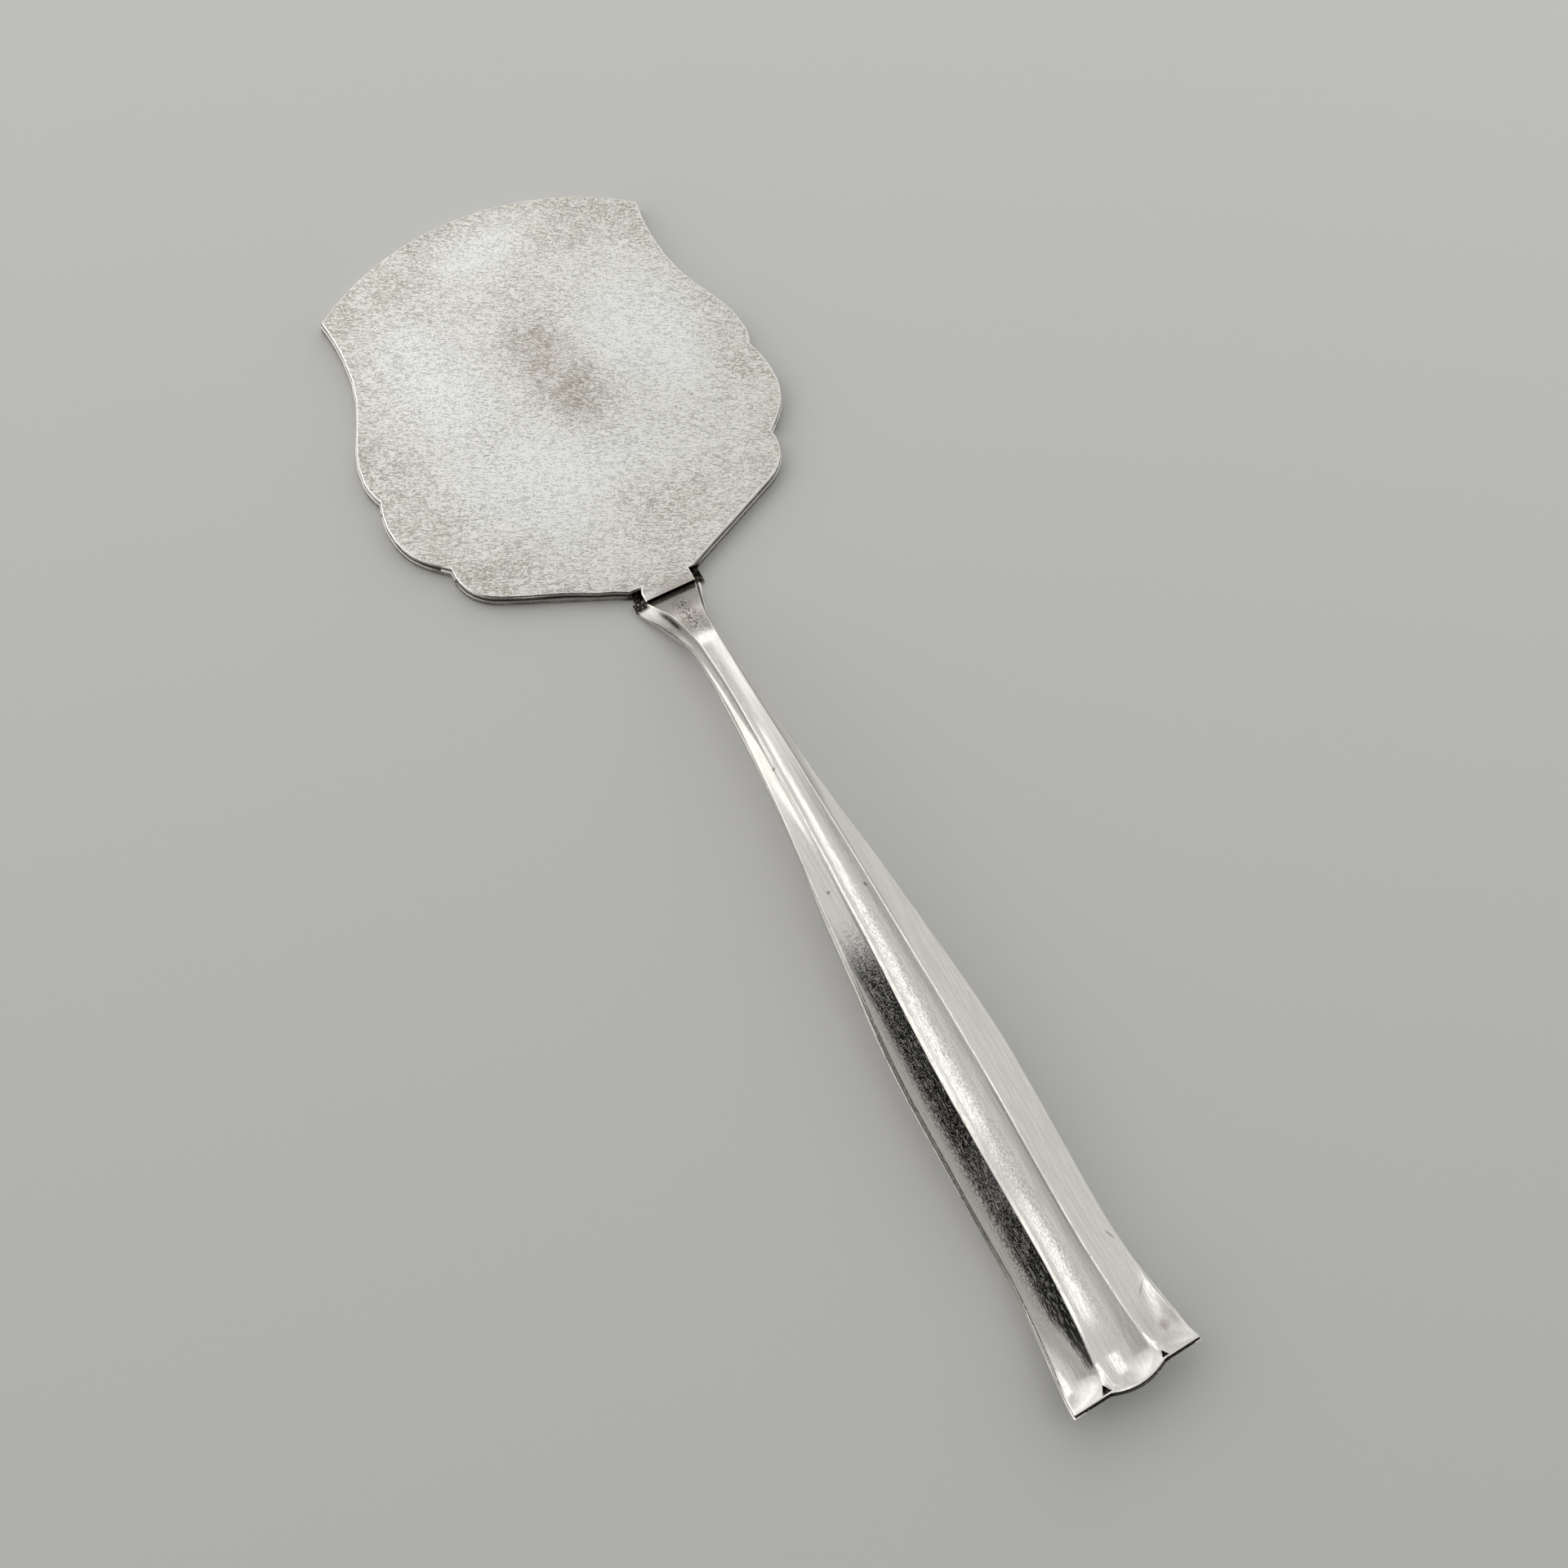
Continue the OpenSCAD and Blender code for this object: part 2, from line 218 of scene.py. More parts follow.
def grain(tree, long, wide, turn, detail, bend=0.0):
    """Noise from 0 to 1, with specks of this length and width in mm lying at this angle."""
    noise = tree.nodes.new("ShaderNodeTexNoise")
    noise.inputs["Scale"].default_value = 1.0
    noise.inputs["Detail"].default_value = detail
    noise.inputs["Distortion"].default_value = bend
    put(noise.inputs["Vector"], placed(tree, 0, 0, long, wide, turn, wide))
    return noise.outputs["Fac"]


def spot(tree, x, y, long, wide, turn=0, soft=0.5):
    """A soft oval patch, 1 in its middle and 0 outside; place and half sizes in mm."""
    length = tree.nodes.new("ShaderNodeVectorMath")
    length.operation = "LENGTH"
    put(length.inputs[0], placed(tree, x, y, long, wide, turn, 1e6))
    return fade(tree, length.outputs["Value"], 1 + soft, 1 - soft)


def spots(tree, places):
    """The strongest of several patches."""
    most = None
    for place in places:
        one = spot(tree, *place)
        most = one if most is None else maths(tree, "MAXIMUM", most, one)
    return most


def tint(tree, share, a, b):
    """Colour a, going to colour b where the share goes to 1."""
    node = tree.nodes.new("ShaderNodeMix")
    node.data_type = "RGBA"
    put(node.inputs["Factor"], share)
    put(node.inputs["A"], a if isinstance(a, bpy.types.NodeSocket) else (*a, 1.0))
    put(node.inputs["B"], b if isinstance(b, bpy.types.NodeSocket) else (*b, 1.0))
    return node.outputs["Result"]


def total(tree, *terms):
    """The sum of values, each times its own share."""
    whole = None
    for value, share in terms:
        one = times(tree, value, share)
        whole = one if whole is None else maths(tree, "ADD", whole, one)
    return whole


def silver(name):
    """A new metal, whose finish is still to be given."""
    material = bpy.data.materials.new(name)
    material.use_nodes = True
    material.node_tree.nodes["Principled BSDF"].inputs["Metallic"].default_value = 1.0
    return material


def finish(material, color, roughness, height, deep):
    """Gives a metal its colour, its roughness and its surface, this deep in mm."""
    tree = material.node_tree
    shader = tree.nodes["Principled BSDF"]
    put(shader.inputs["Base Color"], color)
    put(shader.inputs["Roughness"], roughness)
    bump = tree.nodes.new("ShaderNodeBump")
    bump.inputs["Strength"].default_value = 1.0
    bump.inputs["Distance"].default_value = deep * MM
    put(bump.inputs["Height"], height)
    put(shader.inputs["Normal"], bump.outputs["Normal"])


def wear(piece, material):
    """Gives a piece its finish."""
    piece.data.materials.clear()
    piece.data.materials.append(material)


# Satin finish: fine wrinkles that run slantwise over the blade, stronger where the silver is dull,
# with a brown blotch in the middle, warmer lobes, and edges that are worn bright.
satin = silver("satin_silver")
tree = satin.node_tree
ripple = grain(tree, 0.85, 0.19, -31, 1, 1.3)
crackle = grain(tree, 0.42, 0.26, -5, 1, 1.2)
patches = grain(tree, 3.5, 2.4, 10, 3)
cloud = grain(tree, 10, 7, 25, 4)
dull = spots(tree, [(1.4, 72.5, 4.2, 5.5, 8, 0.9), (2.6, 64.0, 4.6, 5.5, 10, 0.9)])
dull = times(tree, dull, total(tree, (fade(tree, patches, 0.30, 0.66), 0.6), (1.0, 0.4)))
lobes = spots(tree, [(-28, 50, 4.5, 12, -5, 0.9), (-21, 40, 6, 5, 0, 0.9), (29.5, 56, 4, 12, 0, 0.9),
                     (8, 38, 10, 6, -20, 0.9), (14, 92, 6, 4, -20, 0.9), (-15, 93, 9, 4, 25, 0.9)])
rim = maths(tree, "SUBTRACT", 1.0, spot(tree, 0.3, 64, 29, 33.5, 0, 0.12))
uneven = total(tree, (fade(tree, patches, 0.3, 0.6), 0.6), (1.0, 0.4))
warm = times(tree, maths(tree, "MAXIMUM", lobes, rim), uneven)
bright = spots(tree, [(-16, 74, 6, 13, 12, 0.9), (-6, 50, 14, 8, -28, 0.9),
                      (18, 68, 7, 9, 30, 0.9), (0, 94, 8, 4, 0, 0.9)])
tab = spot(tree, 0.6, 26.2, 6.5, 1.8, 0, 0.7)
strong = total(tree, (1.0, 0.35), (fade(tree, cloud, 0.35, 0.65), 0.20), (dull, 0.55), (warm, 0.35),
               (bright, -0.2), (tab, 0.1))
lines = fade(tree, total(tree, (ripple, 1.0), (strong, 0.12)), 0.64, 0.72)
cracks = fade(tree, total(tree, (crackle, 1.0), (strong, 0.12)), 0.66, 0.74)
lines = maths(tree, "MAXIMUM", lines, cracks)
shine = fade(tree, ripple, 0.45, 0.33)
level = height_above(tree)
edge = times(tree, fade(tree, level, 2.197, 2.17), fade(tree, level, 1.75, 1.95))
color = tint(tree, bright, (0.88, 0.875, 0.85), (0.93, 0.932, 0.925))
color = tint(tree, warm, color, (0.87, 0.85, 0.79))
color = tint(tree, dull, color, (0.71, 0.655, 0.60))
color = tint(tree, times(tree, tab, 0.7), color, (0.74, 0.70, 0.66))
color = tint(tree, times(tree, shine, 0.6), color, (0.93, 0.925, 0.91))
lines_dark = times(tree, lines, total(tree, (1.0, 0.25), (strong, 0.6)))
color = tint(tree, lines_dark, color, (0.36, 0.335, 0.29))
marks = spots(tree, [(6.4, 47.3, 0.4, 0.25, 0, 0.6), (-1.4, 67.2, 0.35, 0.35, 0, 0.7),
                     (-13.2, 60.6, 2.2, 0.06, -66, 0.9)])
color = tint(tree, times(tree, marks, 0.5), color, (0.20, 0.18, 0.15))
color = tint(tree, edge, color, (1.0, 0.995, 0.98))
lip = spot(tree, 1.6, 26.2, 5.2, 1.1, 0, 0.6)
color = tint(tree, times(tree, lip, 0.85), color, (0.46, 0.42, 0.38))
# The low part of the side wall is painted dark olive, mottled like tarnish: painted shade that widens
# the seam's dark gap.
side = times(tree, fade(tree, level, 2.05, 1.97), fade(tree, patches, 0.2, 0.6))
color = tint(tree, times(tree, side, 0.85), color, (0.26, 0.24, 0.20))
# Marked faces, the plate's underside, are painted near black as painted shade.
color = tint(tree, attribute_value(tree, "dirt_and_shade"), color, (0.02, 0.018, 0.015))
rough = total(tree, (1.0, 0.32), (dull, 0.08), (warm, 0.05), (edge, -0.18), (tab, -0.04))
surface = total(tree, (ripple, -0.45), (crackle, -0.25), (lines, -0.15))
surface = times(tree, surface, total(tree, (1.0, 1.0), (edge, -0.7)))
finish(satin, color, rough, surface, 0.12)
wear(plate, satin)


# Front sheet
# The decorated front, lying face down: a shallow tray pressed from one sheet, with a turned-up
# rim that the back plate sits on. Its hidden face is plain. The seam stays open at the lobes.

def sheet_rim(a, b, middle):
    """Picks the upper edges of the rim, and half as much the edges on the table."""
    if is_rim(a, b) and middle.z > 0.9 * MM:
        return 1.0
    return 0.5 if is_rim(a, b, -1) and middle.z < 0.1 * MM else 0.0


sheet = worked_copy("front_sheet", "sheet")
round_edges(sheet, (0.14, sheet_rim))
# The tray's inner floor, seen through the open seam, is painted black as painted shade.
paint_shade(sheet, lambda face: face.normal.z > 0.9 and 0.5 * MM < face.center.z < 0.7 * MM)
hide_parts("front_sheet")
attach(sheet, "root")

dusky = silver("dusky_silver")
tree = dusky.node_tree
fine = grain(tree, 0.5, 0.4, 0, 3)
cloud = grain(tree, 3, 2, 0, 2)
level = height_above(tree)
# Black patches in the notches beside the tab: dirt, and painted shade of the deep hollows.
notch_stain_and_shade = spots(tree, [(-5.3, 27.4, 1.4, 1.9, -20, 0.5), (5.2, 28.1, 1.2, 1.5, 20, 0.5)])
notch_stain_and_shade = times(tree, notch_stain_and_shade, fade(tree, fine, 0.25, 0.5))
# The walls are painted dark grey-brown, partly tarnish and partly painted shade, while the rim's upper
# face keeps a light silver colour.
color = tint(tree, fade(tree, cloud, 0.35, 0.65), (0.52, 0.50, 0.45), (0.36, 0.335, 0.30))
color = tint(tree, times(tree, fade(tree, fine, 0.52, 0.38), 0.7), color, (0.20, 0.18, 0.15))
color = tint(tree, fade(tree, level, 0.88, 0.95), color, (0.86, 0.85, 0.81))
# Mottled black for the notches and the marked inner faces: dirt and painted shade.
soot_and_shade = tint(tree, fade(tree, fine, 0.45, 0.65), (0.015, 0.013, 0.011), (0.20, 0.175, 0.15))
color = tint(tree, maths(tree, "MAXIMUM", notch_stain_and_shade, attribute_value(tree, "dirt_and_shade")), color, soot_and_shade)
finish(dusky, color, total(tree, (1.0, 0.42), (notch_stain_and_shade, 0.4)), fine, 0.04)
wear(sheet, dusky)


# Handle, upper shell
# Half of the hollow handle, pressed with three flutes between two ridges, and soldered under
# the plate's tab. The flutes end in rounded bowls, with a small opening where each ridge forks.

lip_y = plate_low[1] / MM              # where the handle leaves the tab
axis_x = 0.35                          # the handle's line lies this far to the right
handle_l = 125.7
tuck_l = 0.9                           # how far the shell goes in under the tab
bowl_l = 4.4
bowl_wall = 0.25                       # between a bowl and the end's rim
curl = 0.45                            # radius of the rolled end
curl_turn = math.radians(85)
curl_from = 0.97                       # the share of the mesh that comes before it
end_rim = handle_l - curl
land = 0.15                            # half width of the ridges' worn flat tops
flank = 0.23                           # how steeply they would rise to a sharp top
land_tilt = 0.05                       # and how much they lean to the right
edge_h = 0.4                           # the edges stand this high above the seam
edge_drop, edge_l = 0.1, 0.15          # and are rounded down by this, over this
swell, swell_l = 0.95, 6.8             # the middle petal, past the corners and in length
blur = 0.07                            # over which the ridges are softened
sheet_t = 0.4                          # of the silver sheet


def along(places, sizes, d):
    """A smooth line through the sizes at the places, which never overshoots them."""
    n = len(places)
    i = 0
    while i < n - 2 and d > places[i + 1]:
        i += 1
    run = [places[k + 1] - places[k] for k in range(n - 1)]
    rise = [(sizes[k + 1] - sizes[k]) / run[k] for k in range(n - 1)]

    def slope(k):
        if k == 0 or k == n - 1:
            return rise[0] if k == 0 else rise[-1]
        a, b, p, q = rise[k - 1], rise[k], run[k - 1], run[k]
        return 0.0 if a * b <= 0 else 3 * (p + q) / ((2 * q + p) / a + (q + 2 * p) / b)

    t = min(1.0, max(0.0, (d - places[i]) / run[i]))
    return (sizes[i] * (1 + 2 * t) * (1 - t) ** 2 + slope(i) * run[i] * t * (1 - t) ** 2
            + sizes[i + 1] * t * t * (3 - 2 * t) + slope(i + 1) * run[i] * t * t * (t - 1))


# Distances from the handle's line to its edges and ridges, at these places from the lip.
plan_at = [0, 2, 4.5, 7, 12, 20, 33, 58, 84, 106, 117, 122, handle_l]
left_edge = [6.2, 5.5, 4.2, 3.4, 2.6, 2.62, 3.35, 5.82, 7.75, 7.72, 8.6, 9.3, 9.75]
left_ridge = [4.1, 3.35, 2.45, 2.0, 1.55, 1.38, 1.64, 2.3, 3.08, 2.9, 3.5, 3.95, 4.25]
right_ridge = [3.9, 3.25, 2.45, 1.95, 1.4, 1.32, 1.6, 2.3, 2.86, 2.8, 3.1, 3.6, 4.2]
right_edge = [4.6, 3.85, 3.2, 2.8, 2.45, 2.6, 3.3, 5.95, 7.85, 7.7, 8.2, 8.95, 9.75]
rows = {}


def row(d):
    """The sizes that hold all across the handle at one place."""
    d = round(d, 4)
    if d not in rows:
        rows[d] = dict(
            edges=(along(plan_at, left_edge, d), along(plan_at, right_edge, d)),
            ridges=(along(plan_at, left_ridge, d), along(plan_at, right_ridge, d)),
            seam=along([0, 5, 12, 33, 84, 106, handle_l], [0.6, 2, 4.7, 6.3, 4.9, 3.75, 5.1], d)
            + min(1.0, max(0.0, (d - handle_l + bowl_l) / bowl_l)) ** 2,
            rise=along([0, 5, 12, 84, 112, handle_l], [0.85, 2, 2.1, 1.5, 1.5, 0.4], d),
            side=along([0, 5, 12, 84, 114, handle_l], [0.3, 0.5, 0.15, 0.15, 0.17, 0.36], d),
            middle=along([0, 5, 12, 84, 114, handle_l], [0, 0.05, 0.13, 0.21, 0.24, 0.46], d))
    return rows[d]


# Dents in the right edge: place across and along, half sizes and depth.
dents = [(6.2, 54.5, 0.5, 1.4, 0.12), (6.4, 57.8, 0.4, 1.2, 0.2), (6.5, 62.4, 0.35, 0.45, 0.18)]


def dish(d, across, draw):
    """1 along a flute, falling to 0 at its bowl's end, which draws back as across goes to 1 or -1."""
    to_end = end_rim - bowl_wall - d - draw * (1 - math.sqrt(max(0.0, 1 - across * across)))
    q = min(1.0, max(0.0, 1 - to_end / bowl_l))
    return (1 - q * q) ** 0.85


def top_height(x, d):
    """Height of the upper shell above its seam."""
    sizes = row(d)
    side = 0 if x < 0 else 1
    edge, ridge = sizes["edges"][side], sizes["ridges"][side]
    ridge_l, ridge_r = sizes["ridges"]
    if -ridge_l <= x <= ridge_r:
        u = (x + ridge_l) / (ridge_l + ridge_r)
        z = sizes["rise"] - 4 * sizes["middle"] * u * (1 - u) * dish(d, 2 * u - 1, 2.4)
    else:
        gap = max(0.0, edge - abs(x))
        u = min(1.0, gap / (edge - ridge))
        z = edge_h + (sizes["rise"] - edge_h) * u - 4 * sizes["side"] * u * (1 - u) * dish(d, u, 2.6)
        z -= edge_drop * max(0.0, 1 - gap / edge_l) ** 2
    off = abs(x) - ridge
    if abs(off) < 0.5:
        tilt = land_tilt * (off if x > 0 else -off)
        z = min(z, sizes["rise"] - land * flank * min(1.0, max(0.0, d / 8)) - tilt)
    for dent_x, dent_d, wide, long, deep in dents:
        z -= deep * math.exp(-((x - dent_x) / wide) ** 2 - ((d - dent_d) / long) ** 2)
    return z


def bulge(x, d):
    """How far the middle petal swells past the end corners."""
    ridge = row(d)["ridges"][0 if x < 0 else 1]
    return swell * max(0.0, 1 - (x / ridge) ** 2) * max(0.0, (d - end_rim + swell_l) / swell_l) ** 2


def upper_point(s, t):
    """The top surface, s from -1 at the left edge to 1 at the right, t from 0 at the tab to 1."""
    flat = min(1.0, t / curl_from)
    d = -tuck_l + (end_rim + tuck_l) * (flat - 0.1 * math.sin(2 * math.pi * flat))
    sizes = row(d)
    (left, right), (ridge_l, ridge_r) = sizes["edges"], sizes["ridges"]
    if abs(s) <= 1 / 3:
        u = (1 - math.cos(math.pi * (s * 3 + 1) / 2)) / 2
        x = -ridge_l + (ridge_l + ridge_r) * u
    else:
        u = (1 - math.cos(math.pi * (1 - abs(s)) * 1.5)) / 2
        x = -(left + (ridge_l - left) * u) if s < 0 else right + (ridge_r - right) * u
    z = top_height(x, d)
    if -left + blur < x < right - blur:
        z = (top_height(x - blur, d) + 2 * z + top_height(x + blur, d)) / 4
    turn = curl_turn * max(0.0, t - curl_from) / (1 - curl_from)
    return Vector(((x + axis_x) * MM, (lip_y - d - bulge(x, d) - curl * math.sin(turn)) * MM,
                   (sizes["seam"] + z - curl * (1 - math.cos(turn))) * MM))


bpy.ops.object.select_all(action="DESELECT")
bpy.ops.mesh.primitive_grid_add(x_subdivisions=90, y_subdivisions=320, size=2)
upper = bpy.context.object
upper.name = upper.data.name = "upper"


def near(value, middle, reach):
    """1 at a middle value, falling to 0 at this reach from it."""
    return max(0.0, 1 - abs((value - middle) / reach)) ** 0.7


def within(value, low, high, soft):
    """1 between two values, falling to 0 at them."""
    return min(1.0, max(0.0, (value - low) / soft)) * min(1.0, max(0.0, (high - value) / soft))


def dirt_and_shade_at(x, d):
    """Black in the corners: dirt that polishing doesn't reach beside the left ridge and at the root, and
    painted shade in the step under the tab's lip, the hollow beside the tab, the line at the root's
    right, beside and along the ridges, in the open seam and under the rolled end.
    """
    sizes = row(d)
    (left, right), (ridge_l, ridge_r) = sizes["edges"], sizes["ridges"]
    crevice = near(x, -ridge_l - 0.42, 0.4) * within(d, 1.8, 8, 1.8)
    hollow = within(-x, ridge_l + 0.1, left + 1, 0.3) * within(d, -1, 1.1, 0.7)
    right_line = near(x, ridge_r + 0.35, 0.3) * within(d, -1, 5.5, 1.5)
    step = within(d, -1, 0.14, 0.1)
    beside = 0.5 * near(x, ridge_r - 0.33, 0.2) * within(d, 80, 113, 8)
    root = 0.5 * within(-x, ridge_l - 0.1, left + 1, 0.3) * within(d, -1, 12, 7)
    grooves = max(near(x, -ridge_l - 0.24, 0.14), near(x, ridge_r + 0.24, 0.14))
    grooves = 0.45 * grooves * within(d, 5, 66, 8)
    seam = near(x, -left, 0.2) * within(d, 60, 114, 12)
    past = d - end_rim - bulge(x, handle_l)
    under = within(past, 0.14, 2, 0.14)
    return min(1.0, max(crevice, hollow, right_line, step, beside, root, grooves, seam, under))


def tarnish_at(x, d):
    """Dull brown-grey silver."""
    sizes = row(d)
    (left, right), (ridge_l, ridge_r) = sizes["edges"], sizes["ridges"]
    ramp = within(x, -ridge_l - 0.2, ridge_r + 0.2, 0.5) * within(d, -1, 9.8 - 0.8 * x, 2.5)
    root = 0.6 * within(d, -1, 11, 5)
    beside = within(-x, ridge_l - 0.1, left + 1, 0.3) * within(d, -1, 14, 7)
    outer = 0.3 * near(-x, left - 1.1, 1.3) * within(d, 66, 116, 8)
    petal = 0.45 * within(x, ridge_r + 0.3, right, 0.8) * within(d, 117, 130, 4)
    return min(1.0, max(ramp, root, beside, outer, petal))


def speckle_at(x, d):
    """Small dark pits, thickest down the middle of the flare and where the dark flute begins."""
    sizes = row(d)
    (left, right), (ridge_l, ridge_r) = sizes["edges"], sizes["ridges"]
    column = near(x, -0.1, 1.7) * within(d, 0.3, 10, 2.5)
    flute = 0.75 * within(-x, ridge_l, left - 1, 0.8) * within(d, 56, 116, 10)
    strip = 0.3 * near(x, -0.6, 1.6) * within(d, 50, 122, 10)
    return min(1.0, max(column, flute, strip))


places = [(v.co.x, (1 - v.co.y) / 2) for v in upper.data.vertices]
for v, (s, t) in zip(upper.data.vertices, places):
    v.co = upper_point(s, t)

# The openings where the ridges fork, as triangles with their tips towards the blade.
shape = bmesh.new()
shape.from_mesh(upper.data)
openings = ((-4.2, -4.95, -3.5, 1.1), (4.75, 4.3, 5.35, 0.85))      # tip, base from and to, length
base_y = lip_y - end_rim + 0.13
for tip_x, from_x, to_x, long in openings:
    corners = [(from_x, base_y), (to_x, base_y), (tip_x, base_y + long)]
    corners = [Vector((x * MM, y * MM, 0)) for x, y in corners]
    sides = [(a, Vector((a.y - b.y, b.x - a.x, 0))) for a, b in zip(corners, corners[1:] + corners[:1])]
    middle = sum(corners, Vector()) / 3
    for start, inward in sides:
        close = [f for f in shape.faces
                 if (f.calc_center_median() - middle).to_2d().length < 2 * long * MM]
        parts = list(dict.fromkeys(part for f in close for part in (f, *f.edges, *f.verts)))
        bmesh.ops.bisect_plane(shape, geom=parts, plane_co=start, plane_no=inward)
    hole = [f for f in shape.faces
            if all((f.calc_center_median() - start).dot(inward) > 0 for start, inward in sides)]
    bmesh.ops.delete(shape, geom=hole, context="FACES")
shape.to_mesh(upper.data)
shape.free()

wall = upper.modifiers.new("sheet", "SOLIDIFY")
wall.thickness = sheet_t * MM
wall.offset = -1
bpy.ops.object.modifier_apply(modifier=wall.name)

bpy.ops.object.select_all(action="DESELECT")
upper.select_set(True)
bpy.ops.object.shade_smooth_by_angle(angle=math.radians(40))
for name, share_at in (("dirt_and_shade", dirt_and_shade_at), ("tarnish", tarnish_at), ("speckle", speckle_at)):
    share = upper.data.attributes.new(name, "FLOAT", "POINT")
    for v in upper.data.vertices:
        share.data[v.index].value = share_at(v.co.x / MM - axis_x, lip_y - v.co.y / MM)
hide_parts("upper_shell")
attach(upper, "root")

# Worn polish, with streaks and fine scratches along the handle, small pits and tarnish.
polish = silver("polished_silver")
tree = polish.node_tree
streaks = grain(tree, 9, 0.34, 90, 3)
hairs = grain(tree, 3.0, 0.085, 89, 2)
fine = grain(tree, 0.5, 0.3, 90, 3)
specks = fade(tree, grain(tree, 0.34, 0.24, 88, 1), 0.68, 0.73)
# Black where marked: dirt in some corners, painted shade in the gaps, hollows and the handle's inside.
dark = times(tree, attribute_value(tree, "dirt_and_shade"), fade(tree, fine, 0.22, 0.42))
brown = attribute_value(tree, "tarnish")
speckle = attribute_value(tree, "speckle")
pits = times(tree, fade(tree, grain(tree, 0.36, 0.30, 88, 0), 0.50, 0.44), speckle)
specks = times(tree, specks, total(tree, (speckle, 1.6), (1.0, 0.12)))
pits = maths(tree, "MAXIMUM", pits, specks)
nicks = spots(tree, [(-1.5, -7.3, 0.2, 0.26, 0, 0.5), (-3.3, -26.2, 0.24, 0.24, 0, 0.5),
                     (1.7, -27.6, 0.16, 0.36, 15, 0.5), (6.9, -90.8, 0.9, 0.07, 42, 0.9),
                     (7.15, -83.2, 0.1, 0.75, 22, 0.6), (7.0, -96, 0.6, 0.7, 0, 0.9)])
color = tint(tree, fade(tree, streaks, 0.36, 0.64), (0.93, 0.915, 0.89), (0.84, 0.822, 0.79))
color = tint(tree, brown, color, (0.60, 0.575, 0.54))
color = tint(tree, times(tree, pits, 0.85), color, (0.13, 0.115, 0.10))
color = tint(tree, times(tree, nicks, 0.6), color, (0.14, 0.12, 0.10))
crust_and_shade = tint(tree, fade(tree, fine, 0.45, 0.7), (0.012, 0.010, 0.008), (0.16, 0.14, 0.12))
color = tint(tree, dark, color, crust_and_shade)
rough = total(tree, (1.0, 0.075), (streaks, 0.06), (brown, 0.22), (dark, 0.4))
surface = total(tree, (streaks, 0.35), (fade(tree, hairs, 0.60, 0.70), 0.25), (fine, 0.25), (pits, -0.3))
finish(polish, color, rough, surface, 0.02)
wear(upper, polish)


# Handle, lower shell
# The other half of the hollow handle, with a plain rounded belly. It sits a little to the left
# of the upper half, and the solder seam has opened along the left side of the body.

lower = worked_copy("lower_shell", "lower", 0.05)
bpy.ops.object.shade_smooth_by_angle(angle=math.radians(40))


def hidden(face):
    """Whether a face lies inside the handle, or under its openings at the end."""
    x, d = face.center.x / MM - axis_x, lip_y - face.center.y / MM
    sizes = row(min(handle_l, max(0.0, d)))
    inside = sizes["edges"][0 if x < 0 else 1] - abs(x) > 0.8
    deep = face.center.z / MM < sizes["seam"] - 0.3
    return face.normal.z > 0.3 and inside and (deep or d > handle_l - 3)


# The handle's inside and the faces under its end openings are painted black as painted shade.
paint_shade(lower, hidden)
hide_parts("lower_shell")
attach(lower, "root")
wear(lower, polish)


# Table
# A plain pale table top, matt and without a pattern, which isn't part of the object.
# It reaches past all that the camera sees.

bpy.ops.object.select_all(action="DESELECT")
bpy.ops.mesh.primitive_plane_add(size=6, location=(0, 0, 0))
table = bpy.context.object
table.name = "table"
table_top = bpy.data.materials.new("table_top")
table_top.use_nodes = True
shader = table_top.node_tree.nodes["Principled BSDF"]
shader.inputs["Base Color"].default_value = (0.815, 0.815, 0.802, 1)
shader.inputs["Roughness"].default_value = 0.9
shader.inputs["Specular IOR Level"].default_value = 0.2
table.data.materials.append(table_top)


# Light
# A softly lit room: a pale ceiling that is brightest on the far side, a window to the right, white
# walls, and two dark screens over the near left side that draw dark lines in the polish.

room = bpy.data.worlds.new("room")
bpy.context.scene.world = room
room.use_nodes = True
sky = room.node_tree
direction = sky.nodes.new("ShaderNodeSeparateXYZ")
put(direction.inputs[0], sky.nodes.new("ShaderNodeTexCoord").outputs["Generated"])


def lit(under, across, ahead, color):
    """Lays an area over the sky: from, to and softness, by the sines of its angles right and far."""
    share = None
    for value, (low, high, soft) in ((direction.outputs["X"], across), (direction.outputs["Y"], ahead)):
        for at, way in ((low, soft), (high, -soft)):
            side = fade(sky, value, at - way, at + way)
            share = side if share is None else times(sky, share, side)
    return tint(sky, share, under, color)


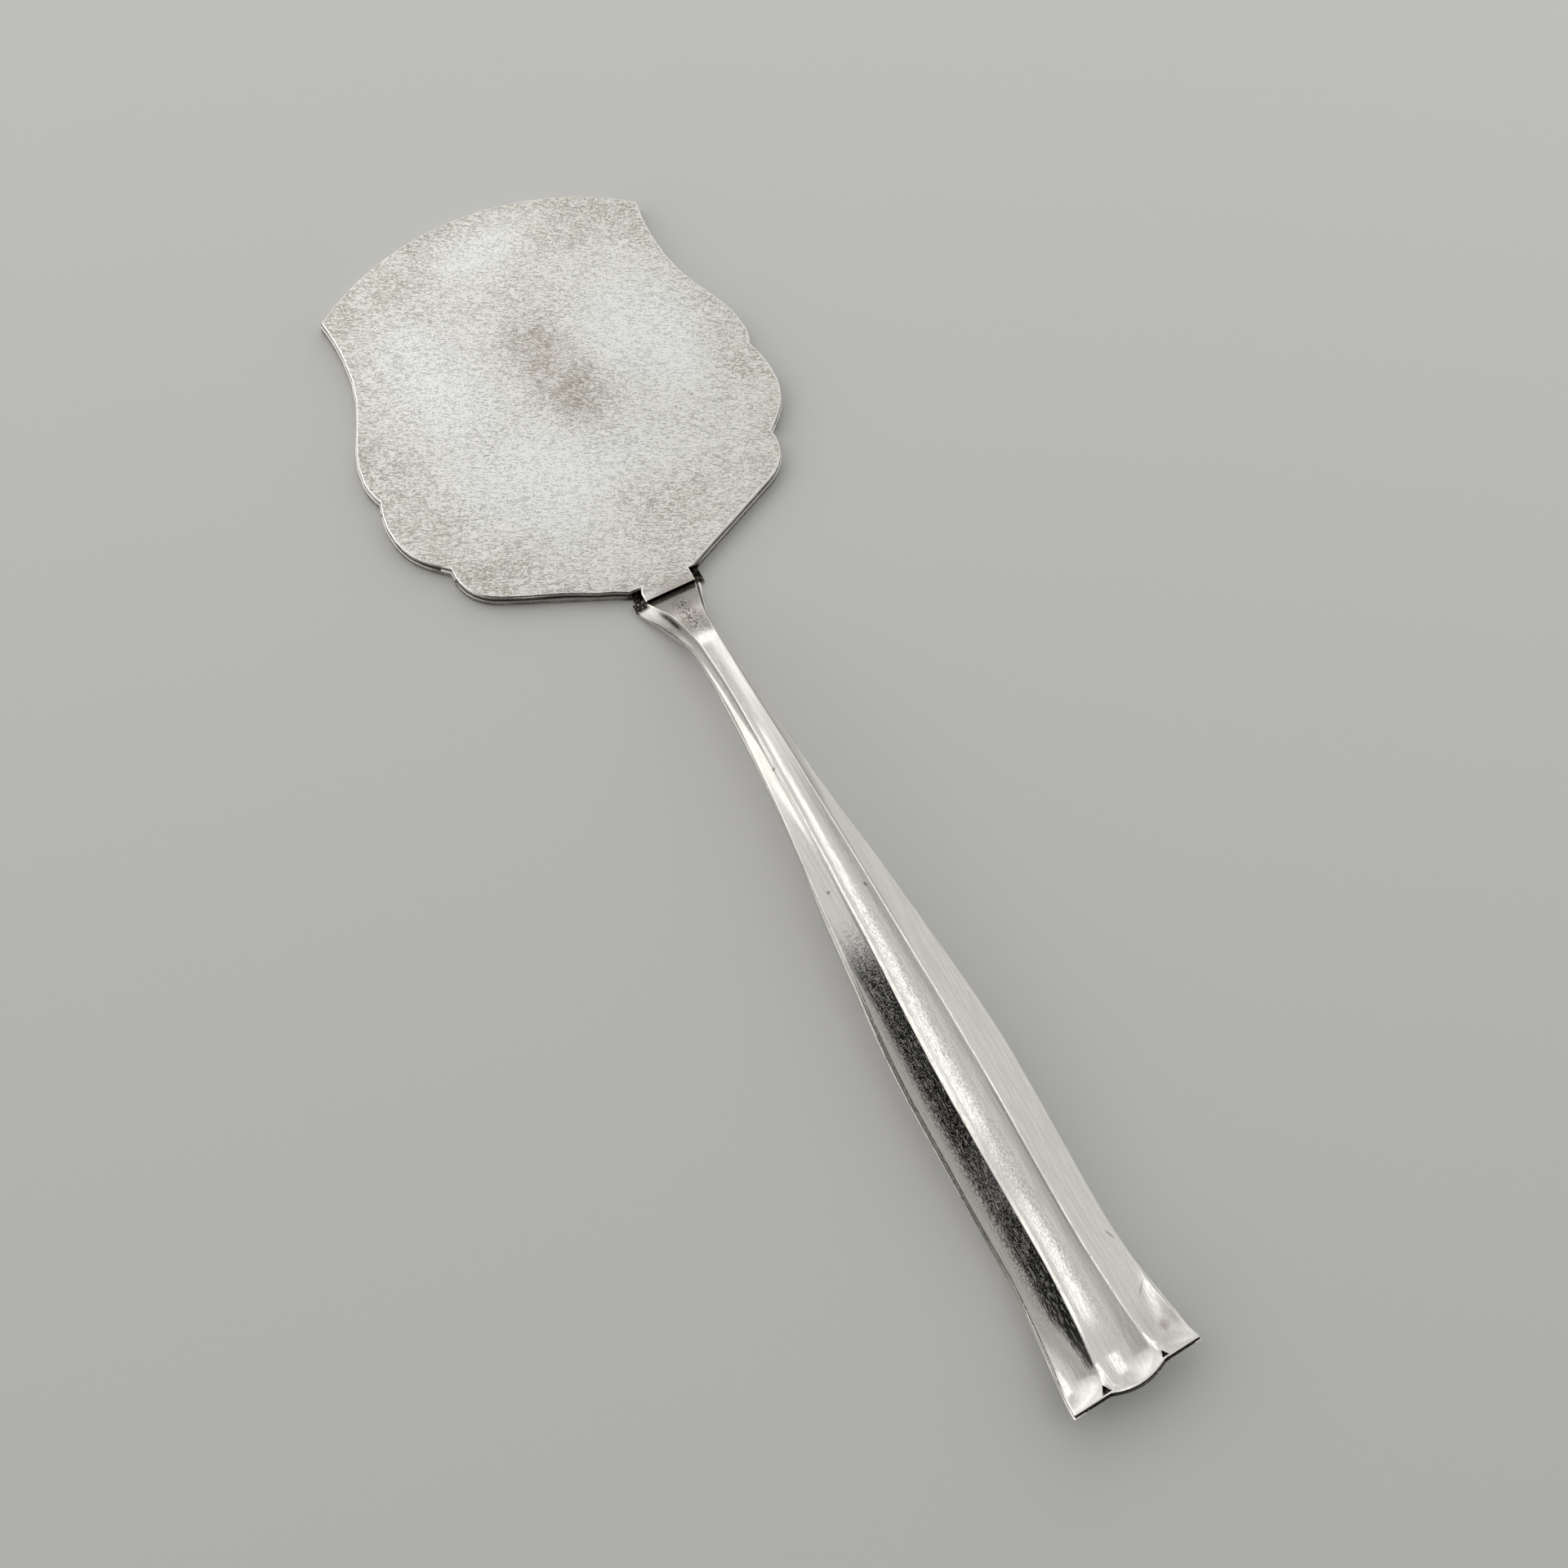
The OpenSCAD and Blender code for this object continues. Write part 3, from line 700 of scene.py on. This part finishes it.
areas = [
    ((-0.35, 0.27, 0.07), (0.30, 0.86, 0.15), (0.84, 0.838, 0.82)),       # far ceiling
    ((-0.18, 0.16, 0.09), (0.46, 0.72, 0.09), (1.08, 1.07, 1.05)),        # its lamp shade
    ((-0.55, 0.45, 0.08), (0.68, 2, 0.10), (1.20, 1.19, 1.16)),           # far window
    ((-2, -0.28, 0.06), (0.32, 2, 0.06), (1.30, 1.29, 1.26)),             # left wall
    ((0.58, 2, 0.06), (0.36, 2, 0.06), (1.0, 1.0, 0.98)),                 # right wall
    ((-2, 2, 0.1), (0.90, 2, 0.04), (0.34, 0.335, 0.32)),                 # low band on the far side
    ((-0.16, 0.10, 0.05), (-2, 0.2, 0.05), (0.42, 0.40, 0.385)),          # ceiling past the camera
    ((0.29, 0.43, 0.03), (-0.135, 0.36, 0.03), (1.25, 1.24, 1.20)),       # window to the right
    ((-0.965, -0.82, 0.03), (-0.8, 0.8, 0.04), (1.15, 1.13, 1.08)),       # strip along the left wall
]
light = (0.62, 0.618, 0.60)
for across, ahead, glow in areas:
    light = lit(light, across, ahead, glow)
put(sky.nodes["Background"].inputs["Color"], light)
sky.nodes["Background"].inputs["Strength"].default_value = 1.0

felt = bpy.data.materials.new("dark_screen")
felt.use_nodes = True
shader = felt.node_tree.nodes["Principled BSDF"]
shader.inputs["Base Color"].default_value = (0.02, 0.02, 0.02, 1)
shader.inputs["Roughness"].default_value = 1.0
shader.inputs["Specular IOR Level"].default_value = 0.0


def screen(name, middle, size, turn):
    """A black screen, which the camera sees only in the polish."""
    bpy.ops.object.select_all(action="DESELECT")
    bpy.ops.mesh.primitive_plane_add(size=1, location=middle, rotation=turn)
    made = bpy.context.object
    made.name = name
    made.scale = (*size, 1)
    made.visible_camera = False
    made.data.materials.append(felt)


screen("screen_above", (-0.3475, -0.07, 0.40), (0.545, 0.16), (0, 0, 0))
screen("screen_near", (-0.15, -0.30, 0.40), (0.90, 0.80), (math.radians(90), 0, 0))


# Camera
# The photograph's viewing angle, found from its perspective. The matrix's columns are the
# camera's right, its up, the way back from what it sees, and its place in metres.

lens = bpy.data.cameras.new("camera")
lens.lens = 36.094
lens.sensor_width = 36
lens.clip_start = 0.005
lens.clip_end = 20
camera = bpy.data.objects.new("camera", lens)
bpy.context.collection.objects.link(camera)
camera.matrix_world = Matrix((
    (0.8694, 0.4326, -0.2386, -0.0535),
    (-0.4859, 0.8363, -0.2541, -0.0655),
    (0.0896, 0.3369, 0.9373, 0.2132),
    (0, 0, 0, 1)))
bpy.context.scene.camera = camera
bpy.context.scene.view_settings.view_transform = "Standard"
